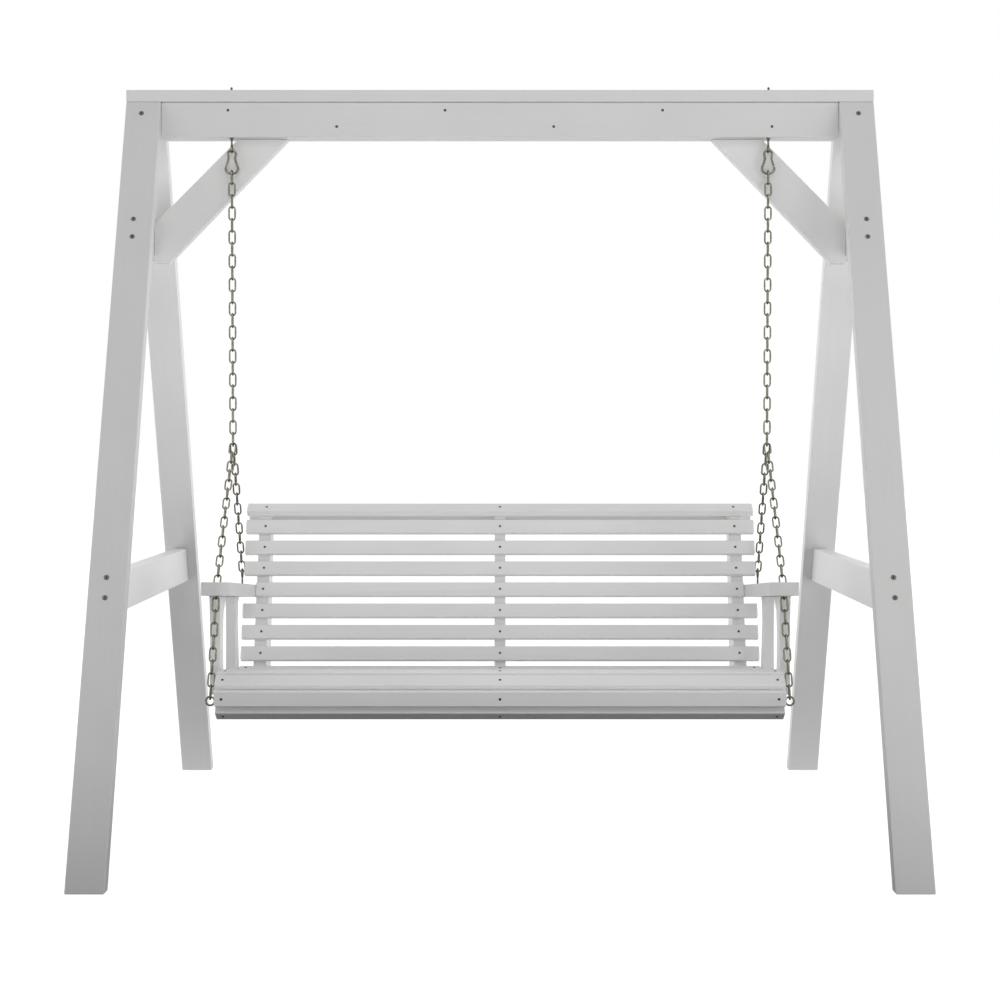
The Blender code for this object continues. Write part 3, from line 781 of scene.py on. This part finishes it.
def build_stand_fixings():
    shape = bmesh.new()
    front = Vector((0, -1, 0))
    beam_face_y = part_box("beam_front_board")[0].y
    for x, z in BEAM_SCREWS:
        add_screw(shape, Vector((x, beam_face_y, z)), front, BEAM_SCREW)
    add_piece("beam_screws", shape, [SCREW, DRIVE_SHADOW], "stand")
    shape = bmesh.new()
    for end in (-1, 1):
        normal = Vector((0, end, LEG_SLOPE)).normalized()
        for side, _ in SIDES:
            for z, radius in LEG_BOLTS:
                y = end * (LEG_FOOT_Y - LEG_SLOPE * z)
                add_bolt(shape, Vector((side * LEG_BOLT_X, y, z)), normal, radius)
    add_piece("leg_bolts", shape, [BOLT, DRIVE_SHADOW], "stand")


build_chains()
build_eyes()
build_hooks()
build_swing_screws()
build_stand_fixings()


# Studio


def add_stage_sheet(name, shape, material):
    """A flat sheet that belongs to the studio and not to the swing."""
    mesh = bpy.data.meshes.new(name)
    shape.to_mesh(mesh)
    shape.free()
    mesh.materials.append(material)
    sheet = bpy.data.objects.new(name, mesh)
    bpy.context.scene.collection.objects.link(sheet)
    return sheet


def matt_grey(name, scale, dark, light):
    """A matt grey with faint clouds and a white glow, with its tree, shader and coordinates."""
    made, tree, shader = new_material(name)
    place = node(tree, "ShaderNodeTexCoord").outputs["Object"]
    tone = noise(tree, place, scale, 2.0)
    colour = tinted(tree, tone, (dark, dark, dark), (light, light, light))
    tree.links.new(colour, shader.inputs["Base Color"])
    shader.inputs["Roughness"].default_value = 0.9
    shader.inputs["Emission Color"].default_value = WHITE
    return made, tree, shader, place


def build_floor():
    """A white floor that glows, so that it meets the white backdrop without a line."""
    shape = bmesh.new()
    bmesh.ops.create_grid(shape, x_segments=1, y_segments=1, size=FLOOR_SIZE)
    made, _, shader, _ = matt_grey("floor_white", 1.3, 0.40, 0.43)
    shader.inputs["Specular IOR Level"].default_value = 0.1
    shader.inputs["Emission Strength"].default_value = FLOOR_GLOW
    floor = add_stage_sheet("floor", shape, made)
    floor.visible_diffuse = False
    floor.visible_glossy = False


def build_card():
    """A dark card just under the floor, which keeps the light off surfaces that face down."""
    shape = bmesh.new()
    bmesh.ops.create_circle(shape, cap_ends=True, segments=64, radius=1.0)
    stretch = Matrix.Diagonal((*CARD_SIZE, 1.0, 1.0))
    offset = Matrix.Translation(CARD_PLACE)
    bmesh.ops.transform(shape, matrix=offset @ stretch, verts=shape.verts)
    made, tree, shader, place = matt_grey("card_grey", 2.0, 0.04, 0.06)
    distance = node(tree, "ShaderNodeSeparateXYZ", {"Vector": place}).outputs["Y"]
    glow = ramp(tree, distance, *CARD_FADE_Y, *CARD_GLOW)
    tree.links.new(glow, shader.inputs["Emission Strength"])
    card = add_stage_sheet("card", shape, made)
    card.visible_camera = False


def build_world():
    """A soft white studio: bright at the sides and low in front, and dark high in front."""
    world = bpy.data.worlds.new("studio")
    bpy.context.scene.world = world
    world.use_nodes = True
    tree = world.node_tree
    tree.nodes.clear()
    direction = node(tree, "ShaderNodeTexCoord").outputs["Generated"]
    parts = node(tree, "ShaderNodeSeparateXYZ", {"Vector": direction}).outputs
    sideways = node(tree, "ShaderNodeMath", {0: parts["X"]}, operation="ABSOLUTE").outputs[0]
    front = ramp(tree, parts["Z"], -0.3, 0.3, LIGHT_LOW, LIGHT_HIGH)
    behind = ramp(tree, parts["Y"], -0.6, 0.5, 0.0, 1.0)
    beside = ramp(tree, sideways, 0.45, 0.90, 0.0, 1.0)
    level = mixed(tree, behind, front, LIGHT_BEHIND)
    level = mixed(tree, beside, level, LIGHT_SIDES)
    reflected = ramp(tree, parts["Y"], -0.92, -0.30, REFLECTED_FRONT, REFLECTED_SIDES)
    path = node(tree, "ShaderNodeLightPath").outputs
    level = mixed(tree, path["Is Glossy Ray"], level, reflected)
    level = mixed(tree, path["Is Camera Ray"], level, 1.0)
    light = node(tree, "ShaderNodeBackground", {"Color": WHITE, "Strength": level})
    output = node(tree, "ShaderNodeOutputWorld")
    tree.links.new(light.outputs[0], output.inputs["Surface"])


def add_softbox(name, location, target, size, power):
    lamp = bpy.data.lights.new(name, "AREA")
    lamp.shape = "SQUARE"
    lamp.size = size
    lamp.energy = power
    obj = bpy.data.objects.new(name, lamp)
    obj.location = location
    aim = Vector(target) - Vector(location)
    obj.rotation_euler = aim.to_track_quat("-Z", "Y").to_euler()
    bpy.context.scene.collection.objects.link(obj)


def build_camera():
    camera = bpy.data.cameras.new("camera")
    camera.sensor_width = CAMERA_SENSOR
    camera.lens = CAMERA_LENS
    obj = bpy.data.objects.new("camera", camera)
    obj.location = CAMERA_PLACE
    obj.rotation_euler = (math.radians(90 - CAMERA_DOWN), 0.0, 0.0)
    bpy.context.scene.collection.objects.link(obj)
    bpy.context.scene.camera = obj


bpy.context.scene.view_settings.view_transform = "Standard"
build_floor()
build_card()
build_world()
for softbox in SOFTBOXES:
    add_softbox(*softbox)
build_camera()
